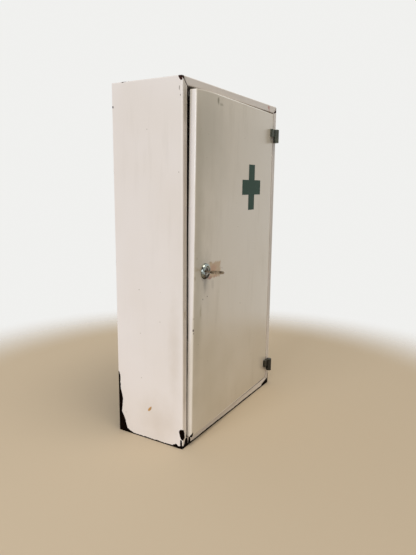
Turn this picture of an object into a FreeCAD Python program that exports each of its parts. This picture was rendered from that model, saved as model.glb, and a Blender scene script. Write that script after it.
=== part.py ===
import FreeCAD, Part
import math
import os

from FreeCAD import Vector

# Wall-hung steel medical cabinet with one hinged, locked door that stands slightly ajar.
# Millimetres. The front faces -Y, +Z is up, and the origin is the middle of the base.

# Carcass
carcass_width = 350.0
carcass_depth = 138.0
carcass_height = 600.0
carcass_sheet = 1.0
stile_width = 13.0
rail_width = 13.0
sill_width = 15.0
frame_return_depth = 12.0
back_flange_width = 12.0
carcass_fold_radius = 1.6
mitre_gap = 0.9
mitre_bow = 1.1

# Back panel and its wall holes
back_sheet = 0.9
back_panel_play = 1.2
wall_hole_radius = 3.5
wall_hole_spacing_across = 240.0
wall_hole_spacing_up = 480.0

# Shelves and their rails
shelf_sheet = 1.0
shelf_front_setback = 26.0
shelf_lip_height = 12.0
shelf_lip_return = 6.0
shelf_side_play = 0.8
lower_shelf_height = 206.0
upper_shelf_height = 396.0
rail_sheet = 1.2
rail_leg = 10.0
rail_end_setback = 8.0

# Door, a shallow pan that is sprung: its top stands further open than its bottom
door_reveal = 2.0
door_sheet = 1.0
door_depth = 12.0
door_fold_radius = 2.0
ajar_at_bottom = 1.5
ajar_at_top = 2.8
stiffener_width = 46.0
stiffener_crown_width = 22.0
stiffener_depth = 8.0
stiffener_sheet = 0.8
stiffener_end_setback = 34.0
weld_clearance = 0.05

# Lift-off hinges, a barrel in two halves on the face of the right stile
hinge_axis_inset = 10.0
hinge_barrel_radius = 5.3
hinge_running_gap = 0.3
hinge_door_half_height = 15.0
hinge_frame_half_height = 11.5
hinge_leaf_reach = 20.0
hinge_leaf_thickness = 5.0
hinge_plate_reach = 9.0
hinge_plate_thickness = 3.5
hinge_edge_chamfer = 0.8
hinge_pin_radius = 3.0
hinge_pin_play = 0.05
hinge_pin_rise = 11.0
hinge_pin_end_play = 0.8
upper_hinge_drop = 61.0
lower_hinge_parting = 45.5

# Green cross
cross_span = 85.0
cross_arm_width = 27.5
cross_film = 0.3
cross_lift = 0.15
cross_inset = 103.5
cross_drop = 148.0

# Cam lock
lock_inset = 36.0
lock_place_up = 300.0
rose_radius = 13.3
rose_height = 4.6
rose_crown_radius = 9.4
rose_dish_radius = 7.4
rose_dish_height = 2.6
housing_radius = 6.2
housing_head_radius = 7.1
housing_head_height = 3.7
housing_hole_play = 0.2
cam_depth = 15.0
cam_thickness = 2.5
cam_running_gap = 0.3
plug_radius = 4.6
plug_bore_play = 0.06
plug_front_lift = 0.5
plug_tail_square = 5.6
nut_side_count = 6
nut_across_flats = 17.0
nut_thickness = 4.0
cam_width = 12.0
cam_reach = 25.0
cam_hole_play = 0.1
cam_washer_radius = 5.0
cam_washer_thickness = 0.8
screw_head_radius = 3.8
screw_head_height = 2.2
screw_slot_width = 1.0
screw_slot_depth = 1.0
screw_shank_radius = 1.9
screw_shank_length = 6.0
screw_hole_play = 0.1

# Key
key_blade_width = 6.4
key_blade_thickness = 1.8
key_blade_length = 14.0
key_slot_play = 0.15
key_neck_length = 6.0
key_neck_width = 7.4
key_bow_length = 24.6
key_bow_width = 20.0
key_bow_rim = 3.2
key_thickness = 2.3
key_cut_pitch = 2.6
key_cut_radius = 0.9
key_cut_count = 4

# Strike plate behind the left stile
strike_sheet = 1.5
strike_height = 46.0
strike_overlap = 7.0
strike_leg_depth = 9.0

# Door stops
stop_inset = 41.0
stop_width = 20.0
stop_sheet = 1.5
stop_foot_depth = 14.0
stop_drop = 22.0
bumper_radius = 4.5
bumper_thickness = 3.0
bumper_gap = 0.3

# One length by which every cut runs past what it cuts
overrun = 3.0

# Places that follow from the sizes above
half_width = carcass_width / 2
front = -carcass_depth / 2
back = carcass_depth / 2
opening_left = -half_width + stile_width
opening_right = half_width - stile_width
opening_bottom = sill_width
opening_top = carcass_height - rail_width
return_back = front + carcass_sheet + frame_return_depth

door_left = opening_left + door_reveal
door_right = opening_right - door_reveal
door_bottom = opening_bottom + door_reveal
door_top = opening_top - door_reveal
door_back = front + door_depth
door_height = door_top - door_bottom

lock_place_across = door_left + lock_inset
cross_place_across = door_right - cross_inset
cross_place_up = door_top - cross_drop
stop_place_across = opening_left + stop_inset

hinge_x = half_width - hinge_axis_inset
hinge_y = front - hinge_barrel_radius - hinge_running_gap
hinge_line = Vector(hinge_x, hinge_y, 0)
upper_hinge_parting = carcass_height - upper_hinge_drop
upward = Vector(0, 0, 1)
rightward = Vector(1, 0, 0)
backward = Vector(0, 1, 0)


def box(low, high):
    """A block between two opposite corners, each given as x, y, z."""
    size = [b - a for a, b in zip(low, high)]
    return Part.makeBox(size[0], size[1], size[2], Vector(*low))


def fused(pieces):
    """The pieces as one solid, with the seams between flush faces removed."""
    whole = pieces[0]
    for piece in pieces[1:]:
        whole = whole.fuse(piece)
    return whole.removeSplitter()


def edges_at(shape, x=None, y=None, z=None):
    """The straight edges of a shape that lie wholly at the given places."""
    near = carcass_sheet / 100
    found = []
    for edge in shape.Edges:
        ends = [vertex.Point for vertex in edge.Vertexes]
        at_x = x is None or all(abs(end.x - x) < near for end in ends)
        at_y = y is None or all(abs(end.y - y) < near for end in ends)
        at_z = z is None or all(abs(end.z - z) < near for end in ends)
        if at_x and at_y and at_z:
            found.append(edge)
    return found


def outline(parts):
    """A wire of straight lines through pairs of points and arcs through triples."""
    edges = []
    for points in parts:
        if len(points) == 3:
            edges.append(Part.Arc(*points).toShape())
        else:
            edges.append(Part.LineSegment(*points).toShape())
    return Part.Wire(edges)


def prism_through_depth(corners):
    """A prism over x, z corners that runs right through the carcass from front to back."""
    points = [Vector(x, front - overrun, z) for x, z in corners]
    face = Part.Face(Part.makePolygon(points + [points[0]]))
    return face.extrude(Vector(0, carcass_depth + 2 * overrun, 0))


def mitre_slot(outer, inner):
    """The crescent left open along one mitre of the front frame, straight on the rail's side."""
    run = Vector(inner[0] - outer[0], 0, inner[1] - outer[1]).normalize()
    stileward = Vector(run.z, 0, -run.x)
    if stileward.x * outer[0] < 0:
        stileward = -stileward
    start = Vector(outer[0], front - overrun, outer[1]) - run * overrun
    end = Vector(inner[0], front - overrun, inner[1])
    half = stileward * (mitre_gap / 2)
    bulge = (start + end) * 0.5 + half + stileward * mitre_bow
    edges = outline([(start + half, bulge, end + half), (end + half, end - half),
                     (end - half, start - half), (start - half, start + half)])
    return Part.Face(edges).extrude(Vector(0, overrun + carcass_sheet + carcass_fold_radius, 0))


def mirrored(shape):
    """The shape mirrored to the other side of the cabinet."""
    return shape.mirror(Vector(0, 0, 0), rightward)


# The four mitres of the front frame, from the outer corner to the corner of the opening
mitre_bottom_left = ((-half_width, 0), (opening_left, opening_bottom))
mitre_top_left = ((-half_width, carcass_height), (opening_left, opening_top))
mitre_bottom_right = ((half_width, 0), (opening_right, opening_bottom))
mitre_top_right = ((half_width, carcass_height), (opening_right, opening_top))


def left_side_panel():
    """Side wall with its stile, the return behind the stile and the flange at the back."""
    inner = -half_width + carcass_sheet
    wall = box((-half_width, front, 0), (inner, back, carcass_height))
    stile = box((-half_width, front, 0), (opening_left, front + carcass_sheet, carcass_height))
    lip = box((opening_left - carcass_sheet, front, 0), (opening_left, return_back, carcass_height))
    flange = box((-half_width, back - carcass_sheet, 0),
                 (-half_width + back_flange_width, back, carcass_height))
    panel = fused([wall, stile, lip, flange])
    folds = edges_at(panel, x=-half_width, y=front)
    folds += edges_at(panel, x=-half_width, y=back)
    folds += edges_at(panel, x=opening_left, y=front)
    panel = panel.makeFillet(carcass_fold_radius, folds)
    region = prism_through_depth([mitre_bottom_left[0], mitre_bottom_left[1],
                                  mitre_top_left[1], mitre_top_left[0]])
    panel = panel.common(region)
    return panel.cut(mitre_slot(*mitre_bottom_left)).cut(mitre_slot(*mitre_top_left))


def level_panel(outer, into, face_width, mitre_left, mitre_right):
    """Top or bottom wall with its front face, return and back flange. into is 1 or -1 in z."""
    inner = outer + into * carcass_sheet
    edge = outer + into * face_width
    flange_edge = outer + into * back_flange_width

    def slab(y_low, y_high, z_one, z_two):
        return box((-half_width, y_low, min(z_one, z_two)), (half_width, y_high, max(z_one, z_two)))

    wall = slab(front, back, outer, inner)
    rail = slab(front, front + carcass_sheet, outer, edge)
    lip = slab(front, return_back, edge, edge - into * carcass_sheet)
    flange = slab(back - carcass_sheet, back, outer, flange_edge)
    panel = fused([wall, rail, lip, flange])
    folds = edges_at(panel, y=front, z=outer)
    folds += edges_at(panel, y=back, z=outer)
    folds += edges_at(panel, y=front, z=edge)
    panel = panel.makeFillet(carcass_fold_radius, folds)
    region = prism_through_depth([mitre_left[0], mitre_right[0], mitre_right[1], mitre_left[1]])
    panel = panel.common(region)
    return panel.cut(mitre_slot(*mitre_left)).cut(mitre_slot(*mitre_right))


def back_panel():
    """Flat sheet inside the back flanges, with four round wall holes."""
    side = half_width - carcass_sheet - back_panel_play
    low = carcass_sheet + back_panel_play
    high = carcass_height - carcass_sheet - back_panel_play
    rear = back - carcass_sheet
    panel = box((-side, rear - back_sheet, low), (side, rear, high))
    for x in (-wall_hole_spacing_across / 2, wall_hole_spacing_across / 2):
        for z in (-wall_hole_spacing_up / 2, wall_hole_spacing_up / 2):
            start = Vector(x, rear - back_sheet - overrun, carcass_height / 2 + z)
            panel = panel.cut(Part.makeCylinder(wall_hole_radius, back_sheet + 2 * overrun, start, backward))
    return panel


shelf_front = front + shelf_front_setback
shelf_back = back - carcass_sheet - back_sheet
shelf_side = half_width - carcass_sheet - shelf_side_play


def shelf(underside):
    """Shelf with a front lip turned down and back under, and a short upstand at the rear."""
    top = underside + shelf_sheet
    plate = box((-shelf_side, shelf_front, underside), (shelf_side, shelf_back, top))
    lip_bottom = top - shelf_lip_height
    notch = rail_leg + shelf_side_play
    lip_side = shelf_side - notch
    lip = box((-lip_side, shelf_front, lip_bottom), (lip_side, shelf_front + shelf_sheet, top))
    hem = box((-lip_side, shelf_front, lip_bottom),
              (lip_side, shelf_front + shelf_lip_return, lip_bottom + shelf_sheet))
    upstand = box((-shelf_side, shelf_back - shelf_sheet, underside),
                  (shelf_side, shelf_back, top + shelf_lip_height))
    whole = fused([plate, lip, hem, upstand])
    folds = edges_at(whole, y=shelf_front, z=top) + edges_at(whole, y=shelf_front, z=lip_bottom)
    return whole.makeFillet(shelf_sheet, folds)


def shelf_rails(underside):
    """The left and right angle strips that carry one shelf, welded to the side walls."""
    wall = half_width - carcass_sheet
    y_low = shelf_front + rail_end_setback
    y_high = shelf_back - rail_end_setback
    leg = box((wall - rail_sheet, y_low, underside - rail_leg), (wall, y_high, underside))
    seat = box((wall - rail_leg, y_low, underside - rail_sheet), (wall, y_high, underside))
    right = fused([leg, seat])
    return Part.makeCompound([mirrored(right), right])


def swing_at(height):
    """Degrees by which the sprung door stands open at a height."""
    share = (height - door_bottom) / door_height
    return ajar_at_bottom + share * (ajar_at_top - ajar_at_bottom)


twist_rate = math.radians(ajar_at_top - ajar_at_bottom) / door_height
closed_swing = swing_at(lock_place_up)


def on_door(shape, across, height):
    """A piece built on the flat closed door, moved to its place on the ajar, sprung door."""
    lean = math.degrees(math.atan(twist_rate * (hinge_x - across)))
    placed = shape.copy()
    placed.rotate(Vector(across, front, height), rightward, lean)
    placed.rotate(hinge_line, upward, swing_at(height))
    return placed


def on_hinge(shape, height):
    """A hinge half built for the closed door, turned with the door about the hinge line."""
    placed = shape.copy()
    placed.rotate(hinge_line, upward, swing_at(height))
    return placed


def sprung_prism(wire_at, low, high):
    """A ruled solid between one outline at two heights, each turned with the sprung door."""
    wires = []
    for height in (low, high):
        wire = wire_at(height)
        wire.rotate(hinge_line, upward, swing_at(height))
        wires.append(wire)
    return Part.makeLoft(wires, True, True)


def corner_arc(centre, radius, way_x, height):
    """Three points of a front corner's quarter arc, from its side tangent to its front tangent."""
    slant = radius * math.sqrt(0.5)
    side = Vector(centre[0] + way_x * radius, centre[1], height)
    middle = Vector(centre[0] + way_x * slant, centre[1] - slant, height)
    face = Vector(centre[0], centre[1] - radius, height)
    return side, middle, face


def pan_channel_wire(height):
    """Level section of the door pan: the front sheet and both side returns."""
    left_centre = (door_left + door_fold_radius, front + door_fold_radius)
    right_centre = (door_right - door_fold_radius, front + door_fold_radius)
    inner_radius = door_fold_radius - door_sheet
    outer_left = corner_arc(left_centre, door_fold_radius, -1, height)
    outer_right = corner_arc(right_centre, door_fold_radius, 1, height)
    inner_left = corner_arc(left_centre, inner_radius, -1, height)
    inner_right = corner_arc(right_centre, inner_radius, 1, height)
    tips = [Vector(x, door_back, height) for x in
            (door_left, door_left + door_sheet, door_right - door_sheet, door_right)]
    return outline([(tips[0], outer_left[0]), outer_left, (outer_left[2], outer_right[2]),
                    outer_right[::-1], (outer_right[0], tips[3]), (tips[3], tips[2]),
                    (tips[2], inner_right[0]), inner_right, (inner_right[2], inner_left[2]),
                    inner_left[::-1], (inner_left[0], tips[1]), (tips[1], tips[0])])


def pan_end_wire(height):
    """Level outline of the pan's top and bottom returns."""
    left_centre = (door_left + door_fold_radius, front + door_fold_radius)
    right_centre = (door_right - door_fold_radius, front + door_fold_radius)
    outer_left = corner_arc(left_centre, door_fold_radius, -1, height)
    outer_right = corner_arc(right_centre, door_fold_radius, 1, height)
    tips = [Vector(x, door_back, height) for x in (door_left, door_right)]
    return outline([(tips[0], outer_left[0]), outer_left, (outer_left[2], outer_right[2]),
                    outer_right[::-1], (outer_right[0], tips[1]), (tips[1], tips[0])])


def lock_cylinder(radius, near, far):
    """A round solid on the lock's line, between two depths behind the door's face."""
    start = Vector(lock_place_across, front + near, lock_place_up)
    return Part.makeCylinder(radius, far - near, start, backward)


def lock_block(half_across, half_up, near, far):
    """A block centred on the lock's line, between two depths behind the door's face."""
    return box((lock_place_across - half_across, front + near, lock_place_up - half_up),
               (lock_place_across + half_across, front + far, lock_place_up + half_up))


def door_pan():
    """Sheet door folded back on all four sides, sprung by its twist, with the lock's hole."""
    channel = sprung_prism(pan_channel_wire, door_bottom + door_sheet, door_top - door_sheet)
    pieces = [channel]
    for low, joint in ((door_bottom, door_bottom + door_sheet), (door_top - door_sheet, door_top - door_sheet)):
        plate = Part.Face(pan_end_wire(joint)).extrude(Vector(0, 0, door_sheet))
        plate.translate(Vector(0, 0, low - joint))
        plate.rotate(hinge_line, upward, swing_at(joint))
        pieces.append(plate)
    pan = fused(pieces)
    # The hole is cut in the small square of sheet under the rose, which is then joined back.
    near, far = -overrun, door_sheet + overrun
    square = seated_on_lock(lock_block(rose_radius, rose_radius, near, far))
    hole = seated_on_lock(lock_cylinder(housing_radius + housing_hole_play, near, far))
    return fused([pan.cut(square), pan.common(square).cut(hole)])


def stiffener_wire(height):
    """Level section of the hat channel: two feet on the sheet, two webs and a crown."""
    seat = front + door_sheet + weld_clearance
    sheet = stiffener_sheet
    foot = stiffener_width / 2
    crown = stiffener_crown_width / 2
    top = seat + stiffener_depth
    outer_left = [(-foot, seat), (-foot, seat + sheet), (-crown, seat + sheet), (-crown, top)]
    inner_left = [(-crown + sheet, top - sheet), (-crown + sheet, seat)]
    outer_right = [(-x, y) for x, y in reversed(outer_left)]
    inner_right = [(-x, y) for x, y in reversed(inner_left)]
    points = outer_left + outer_right + inner_right + inner_left
    corners = [Vector(x, y, height) for x, y in points]
    return Part.makePolygon(corners + [corners[0]])


def door_stiffener():
    """Upright hat channel inside the door, spot-welded to the sheet and sprung with it."""
    return sprung_prism(stiffener_wire, door_bottom + stiffener_end_setback, door_top - stiffener_end_setback)


def hinge_cylinder(radius, low, high):
    """A round solid on the hinge line between two heights."""
    return Part.makeCylinder(radius, high - low, Vector(hinge_x, hinge_y, low), upward)


def hinge_frame_half(parting):
    """Lower barrel with the plate welded to the right stile, bored for the pin."""
    low = parting - hinge_frame_half_height
    barrel = hinge_cylinder(hinge_barrel_radius, low, parting)
    plate = box((hinge_x, front - hinge_plate_thickness, low),
                (hinge_x + hinge_plate_reach, front, parting))
    half = fused([barrel, plate])
    half = half.makeChamfer(hinge_edge_chamfer,
                            edges_at(half, x=hinge_x + hinge_plate_reach, y=front - hinge_plate_thickness))
    return half.cut(hinge_cylinder(hinge_pin_radius, low - overrun, parting + overrun))


def hinge_pin(parting):
    """Pin held in the frame half, standing up into the door half."""
    low = parting - hinge_frame_half_height
    pin = hinge_cylinder(hinge_pin_radius, low, parting + hinge_pin_rise)
    return pin.makeChamfer(hinge_edge_chamfer, edges_at(pin, z=parting + hinge_pin_rise))


def hinge_door_half(parting):
    """Upper barrel, closed at its top, with the leaf that lies on the door's face."""
    high = parting + hinge_door_half_height
    barrel = hinge_cylinder(hinge_barrel_radius, parting, high)
    barrel = barrel.makeChamfer(hinge_edge_chamfer, edges_at(barrel, z=high))
    leaf_front = front - hinge_leaf_thickness
    leaf_left = hinge_x - hinge_leaf_reach
    leaf = box((leaf_left, leaf_front, parting), (door_right, front - weld_clearance, high))
    leaf = leaf.makeChamfer(hinge_edge_chamfer, edges_at(leaf, y=leaf_front, x=leaf_left)
                            + edges_at(leaf, y=leaf_front, z=high))
    bridge = box((door_right, leaf_front, parting),
                 (hinge_x, front - hinge_running_gap, high - hinge_edge_chamfer))
    half = fused([barrel, leaf, bridge])
    bore = hinge_cylinder(hinge_pin_radius + hinge_pin_play, parting - overrun,
                          parting + hinge_pin_rise + hinge_pin_end_play)
    return on_hinge(half.cut(bore), (parting + high) / 2)


def green_cross():
    """Thin upright cross with equal arms on the door's face."""
    reach = cross_span / 2
    arm = cross_arm_width / 2
    rear = front - cross_lift
    pieces = []
    for across, up in ((arm, reach), (reach, arm)):
        pieces.append(box((cross_place_across - across, rear - cross_film, cross_place_up - up),
                          (cross_place_across + across, rear, cross_place_up + up)))
    return on_door(fused(pieces), cross_place_across, cross_place_up)


def revolved_on_lock(profile):
    """A solid turned about the lock's line from an outline of radius, rise, bulge parts."""
    def place(radius, rise):
        return Vector(lock_place_across + radius, front - rise, lock_place_up)
    edges = outline([tuple(place(*point) for point in part) for part in profile])
    axis_point = Vector(lock_place_across, front, lock_place_up)
    return Part.Face(edges).revolve(axis_point, backward, 360)


def seated_on_lock(shape):
    """A lock piece moved to its place on the ajar, sprung door."""
    return on_door(shape, lock_place_across, lock_place_up)


def lock_rosette():
    """Domed rose round the lock, hollow dish in its middle, seated on the door's face."""
    rim = (rose_radius, weld_clearance)
    crown = (rose_crown_radius, rose_height)
    shoulder_share = 0.72
    shoulder = (rose_crown_radius + (rose_radius - rose_crown_radius) * shoulder_share,
                rose_height * shoulder_share)
    dish = (rose_dish_radius, rose_dish_height)
    slope = ((rose_crown_radius + rose_dish_radius) / 2,
             (rose_height + rose_dish_height) / 2 + (rose_height - rose_dish_height) / 4)
    hole = housing_radius + housing_hole_play
    profile = [(rim, shoulder, crown), (crown, slope, dish), (dish, (hole, rose_dish_height)),
               ((hole, rose_dish_height), (hole, weld_clearance)), ((hole, weld_clearance), rim)]
    return seated_on_lock(revolved_on_lock(profile))


def lock_housing():
    """Fixed barrel with a head in the rose's dish, bored for the plug."""
    body = lock_cylinder(housing_radius, -rose_dish_height, cam_depth - cam_running_gap)
    head = lock_cylinder(housing_head_radius, -housing_head_height, -rose_dish_height)
    bore = lock_cylinder(plug_radius + plug_bore_play, -housing_head_height - overrun, cam_depth + overrun)
    return seated_on_lock(fused([head, body]).cut(bore))


def lock_nut():
    """Six-sided nut on the barrel, clamping the door's sheet."""
    corner = nut_across_flats / 2 / math.cos(math.pi / nut_side_count)
    near = front + door_sheet + weld_clearance
    points = []
    for side in range(nut_side_count):
        angle = 2 * math.pi * side / nut_side_count
        points.append(Vector(lock_place_across + corner * math.cos(angle), near,
                             lock_place_up + corner * math.sin(angle)))
    nut = Part.Face(Part.makePolygon(points + [points[0]])).extrude(Vector(0, nut_thickness, 0))
    bore = lock_cylinder(housing_radius, -overrun, door_sheet + nut_thickness + overrun)
    return seated_on_lock(nut.cut(bore))


plug_front_depth = -housing_head_height - plug_front_lift
cam_back_depth = cam_depth + cam_thickness


def lock_plug():
    """Turning core with the key's slot at its front and a square tail with a screw hole."""
    core = lock_cylinder(plug_radius, plug_front_depth, cam_depth)
    tail = lock_block(plug_tail_square / 2, plug_tail_square / 2, cam_depth, cam_back_depth)
    slot = lock_block(key_blade_width / 2 + key_slot_play, key_blade_thickness / 2 + key_slot_play,
                      plug_front_depth - overrun, plug_front_depth + key_blade_length + key_slot_play)
    hole = lock_cylinder(screw_shank_radius + screw_hole_play,
                         cam_back_depth - screw_shank_length, cam_back_depth + overrun)
    return seated_on_lock(fused([core, tail]).cut(slot).cut(hole))


def lock_cam():
    """Tongue on the square tail. Unlocked, it hangs down from the lock's line."""
    rear = front + cam_depth
    hub = lock_cylinder(cam_width / 2, cam_depth, cam_back_depth)
    bar = box((lock_place_across - cam_width / 2, rear, lock_place_up - cam_reach),
              (lock_place_across + cam_width / 2, rear + cam_thickness, lock_place_up))
    end = Part.makeCylinder(cam_width / 2, cam_thickness,
                            Vector(lock_place_across, rear, lock_place_up - cam_reach), backward)
    half_hole = plug_tail_square / 2 + cam_hole_play
    hole = lock_block(half_hole, half_hole, cam_depth - overrun, cam_back_depth + overrun)
    return seated_on_lock(fused([hub, bar, end]).cut(hole))


def cam_washer():
    """Flat washer between the cam and the screw's head."""
    disc = lock_cylinder(cam_washer_radius, cam_back_depth, cam_back_depth + cam_washer_thickness)
    hole = lock_cylinder(screw_shank_radius + screw_hole_play, cam_back_depth - overrun,
                         cam_back_depth + cam_washer_thickness + overrun)
    return seated_on_lock(disc.cut(hole))


def cam_screw():
    """Slotted screw that holds the cam on the plug's tail."""
    head_near = cam_back_depth + cam_washer_thickness
    head_far = head_near + screw_head_height
    head = lock_cylinder(screw_head_radius, head_near, head_far)
    shank_near = cam_back_depth - screw_shank_length + screw_hole_play
    shank = lock_cylinder(screw_shank_radius, shank_near, head_near)
    slot = lock_block(screw_slot_width / 2, screw_head_radius + overrun,
                      head_far - screw_slot_depth, head_far + overrun)
    return seated_on_lock(fused([head, shank]).cut(slot))


def oval_plate(centre_y, half_length, half_width_across, thickness):
    """A level oval plate, long from front to back, centred on the lock's height."""
    ellipse = Part.Ellipse(Vector(lock_place_across, centre_y, lock_place_up - thickness / 2),
                           half_length, half_width_across)
    edge = ellipse.toShape()
    edge.rotate(Vector(lock_place_across, centre_y, lock_place_up), upward, 90)
    return Part.Face(Part.Wire([edge])).extrude(Vector(0, 0, thickness))


def key():
    """Flat key: a cut blade in the plug, a neck that stops at its face and an oval ring bow."""
    blade_tip = front + plug_front_depth + key_blade_length
    shoulder = front + plug_front_depth
    neck_front = shoulder - key_neck_length
    blade = box((lock_place_across - key_blade_width / 2, shoulder, lock_place_up - key_blade_thickness / 2),
                (lock_place_across + key_blade_width / 2, blade_tip, lock_place_up + key_blade_thickness / 2))
    for number in range(key_cut_count):
        cut_y = blade_tip - key_cut_pitch * (number + 1)
        start = Vector(lock_place_across - key_blade_width / 2, cut_y, lock_place_up - key_thickness)
        blade = blade.cut(Part.makeCylinder(key_cut_radius, 2 * key_thickness, start, upward))
    bow_centre = neck_front - key_bow_length / 2
    neck = box((lock_place_across - key_neck_width / 2, neck_front - key_bow_rim,
                lock_place_up - key_thickness / 2),
               (lock_place_across + key_neck_width / 2, shoulder, lock_place_up + key_thickness / 2))
    bow = oval_plate(bow_centre, key_bow_length / 2, key_bow_width / 2, key_thickness)
    hole = oval_plate(bow_centre, key_bow_length / 2 - key_bow_rim,
                      key_bow_width / 2 - key_bow_rim, key_thickness + 2 * overrun)
    return seated_on_lock(fused([blade, neck, bow]).cut(hole))


def strike_plate():
    """Bent plate welded inside the left return, with the lip that the locked cam sits behind."""
    inner = opening_left - carcass_sheet
    low = lock_place_up - strike_height / 2
    high = lock_place_up + strike_height / 2
    lip_tip = lock_place_across - cam_reach - cam_width / 2 + strike_overlap
    leg = box((inner - strike_sheet, return_back - strike_leg_depth, low),
              (inner, return_back + strike_sheet, high))
    lip = box((inner - strike_sheet, return_back, low), (lip_tip, return_back + strike_sheet, high))
    plate = fused([leg, lip])
    return plate.makeChamfer(strike_sheet / 2, edges_at(plate, x=lip_tip, y=return_back))


def closed_depth_at(across, height):
    """Depth of the door pan's rear edge at a place when the door is shut at the lock."""
    angle = math.radians(swing_at(height) - closed_swing)
    return hinge_y + (across - hinge_x) * math.sin(angle) + (door_back - hinge_y) * math.cos(angle)


stop_left = stop_place_across - stop_width / 2
bumper_front = closed_depth_at(stop_left, door_bottom) + bumper_gap
stop_front = bumper_front + bumper_thickness


def stop_tab(wall, into):
    """Angle bracket welded to the top or bottom wall. into is 1 or -1 in z."""
    foot_edge = wall + into * stop_sheet
    tip = wall + into * stop_drop
    right = stop_left + stop_width
    leg = box((stop_left, stop_front, min(wall, tip)), (right, stop_front + stop_sheet, max(wall, tip)))
    foot = box((stop_left, stop_front, min(wall, foot_edge)),
               (right, stop_front + stop_foot_depth, max(wall, foot_edge)))
    return fused([leg, foot])


def stop_bumpers():
    """The two rubber buttons on the fronts of the stop tabs."""
    buttons = []
    for height in (door_bottom + bumper_radius / 2, door_top - bumper_radius / 2):
        start = Vector(stop_place_across, bumper_front, height)
        buttons.append(Part.makeCylinder(bumper_radius, bumper_thickness, start, backward))
    return Part.makeCompound(buttons)


top_inner = carcass_height - carcass_sheet
nodes = {
    "left_side_panel": left_side_panel(),
    "right_side_panel": mirrored(left_side_panel()),
    "top_panel": level_panel(carcass_height, -1, rail_width, mitre_top_left, mitre_top_right),
    "bottom_panel": level_panel(0, 1, sill_width, mitre_bottom_left, mitre_bottom_right),
    "back_panel": back_panel(),
    "lower_shelf": shelf(lower_shelf_height),
    "upper_shelf": shelf(upper_shelf_height),
    "lower_shelf_rails": shelf_rails(lower_shelf_height),
    "upper_shelf_rails": shelf_rails(upper_shelf_height),
    "strike_plate": strike_plate(),
    "lower_stop_tab": stop_tab(carcass_sheet, 1),
    "upper_stop_tab": stop_tab(top_inner, -1),
    "stop_bumpers": stop_bumpers(),
    "door_pan": door_pan(),
    "door_stiffener": door_stiffener(),
    "green_cross": green_cross(),
    "lock_rosette": lock_rosette(),
    "lock_housing": lock_housing(),
    "lock_nut": lock_nut(),
    "lock_plug": lock_plug(),
    "lock_cam": lock_cam(),
    "cam_washer": cam_washer(),
    "cam_screw": cam_screw(),
    "key": key(),
}
for name, parting in (("lower", lower_hinge_parting), ("upper", upper_hinge_parting)):
    nodes[name + "_hinge_frame_half"] = hinge_frame_half(parting)
    nodes[name + "_hinge_pin"] = hinge_pin(parting)
    nodes[name + "_hinge_door_half"] = hinge_door_half(parting)

os.makedirs("parts", exist_ok=True)
for name, shape in nodes.items():
    shape.exportStep("parts/" + name + ".step")
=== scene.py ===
import logging
import math
from dataclasses import dataclass, field
from enum import Enum
from typing import Any

import bmesh
import bpy
from mathutils import Matrix, Vector


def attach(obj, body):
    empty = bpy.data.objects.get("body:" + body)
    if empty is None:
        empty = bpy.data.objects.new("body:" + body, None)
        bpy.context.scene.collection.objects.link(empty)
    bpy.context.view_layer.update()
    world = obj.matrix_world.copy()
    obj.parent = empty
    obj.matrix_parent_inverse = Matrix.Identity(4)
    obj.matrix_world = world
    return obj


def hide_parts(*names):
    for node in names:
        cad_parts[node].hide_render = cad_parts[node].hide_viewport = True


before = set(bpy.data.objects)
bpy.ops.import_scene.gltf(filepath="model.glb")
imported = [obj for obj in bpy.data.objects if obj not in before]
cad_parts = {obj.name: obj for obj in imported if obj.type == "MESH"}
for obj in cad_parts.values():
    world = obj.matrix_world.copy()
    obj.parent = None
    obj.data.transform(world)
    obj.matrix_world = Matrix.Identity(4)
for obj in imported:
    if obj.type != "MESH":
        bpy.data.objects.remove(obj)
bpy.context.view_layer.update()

MM = 0.001
MICRONS_IN_METRE = 1e6
FAR_OFF = 1.0

# The faces of the carcass, in millimetres from the middle of its base.
LEFT, RIGHT = -175.0, 175.0
FRONT, BACK = -69.0, 69.0
TOP = 600.0

Socket = bpy.types.NodeSocket
Tree = bpy.types.NodeTree
Point = tuple[float, float, float]
Colour = tuple[float, float, float, float]

log = logging.getLogger("medical_cabinet")


def linear(hex_code: str) -> Colour:
    """Turn an sRGB hex colour to linear light.

    Args:
        hex_code: Six hex digits, red first.

    Returns:
        The linear colour with full alpha.
    """
    channels = [int(hex_code[place:place + 2], 16) / 255 for place in (0, 2, 4)]
    red, green, blue = [c / 12.92 if c <= 0.04045 else ((c + 0.055) / 1.055) ** 2.4 for c in channels]
    return red, green, blue, 1.0


def per_metre(size_mm: float) -> float:
    """Pattern scale that repeats about once in a size given in millimetres."""
    return 1.0 / (size_mm * MM)


def add(tree: Tree, kind: str, links: dict | None = None, output: str | int = 0,
        **settings: Any) -> Socket | None:
    """Add one shader node with its settings and links.

    Args:
        tree: The node tree that takes the node.
        kind: The node's type, without the word ShaderNode.
        links: For an input, by name or number, the socket that feeds it or its constant.
        output: The output to hand back, by name or number.
        settings: The node's own properties.

    Returns:
        The chosen output, or None for a node without outputs.
    """
    node = tree.nodes.new("ShaderNode" + kind)
    for name, value in settings.items():
        setattr(node, name, value)
    for key, value in (links or {}).items():
        if isinstance(value, bpy.types.NodeSocket):
            tree.links.new(value, node.inputs[key])
        else:
            node.inputs[key].default_value = value
    return node.outputs[output] if len(node.outputs) else None


def cleared_tree(owner: bpy.types.Material | bpy.types.World) -> Tree:
    """Give a material or a world an empty node tree.

    Args:
        owner: The material or world.

    Returns:
        Its empty tree.
    """
    owner.use_nodes = True
    owner.node_tree.nodes.clear()
    return owner.node_tree


def new_object(name: str, data: bpy.types.ID) -> bpy.types.Object:
    """Make an object of a mesh, a light or a camera, and link it to the scene.

    Args:
        name: The object's name.
        data: The mesh, light or camera.

    Returns:
        The new object.
    """
    made = bpy.data.objects.new(name, data)
    bpy.context.scene.collection.objects.link(made)
    return made


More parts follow.
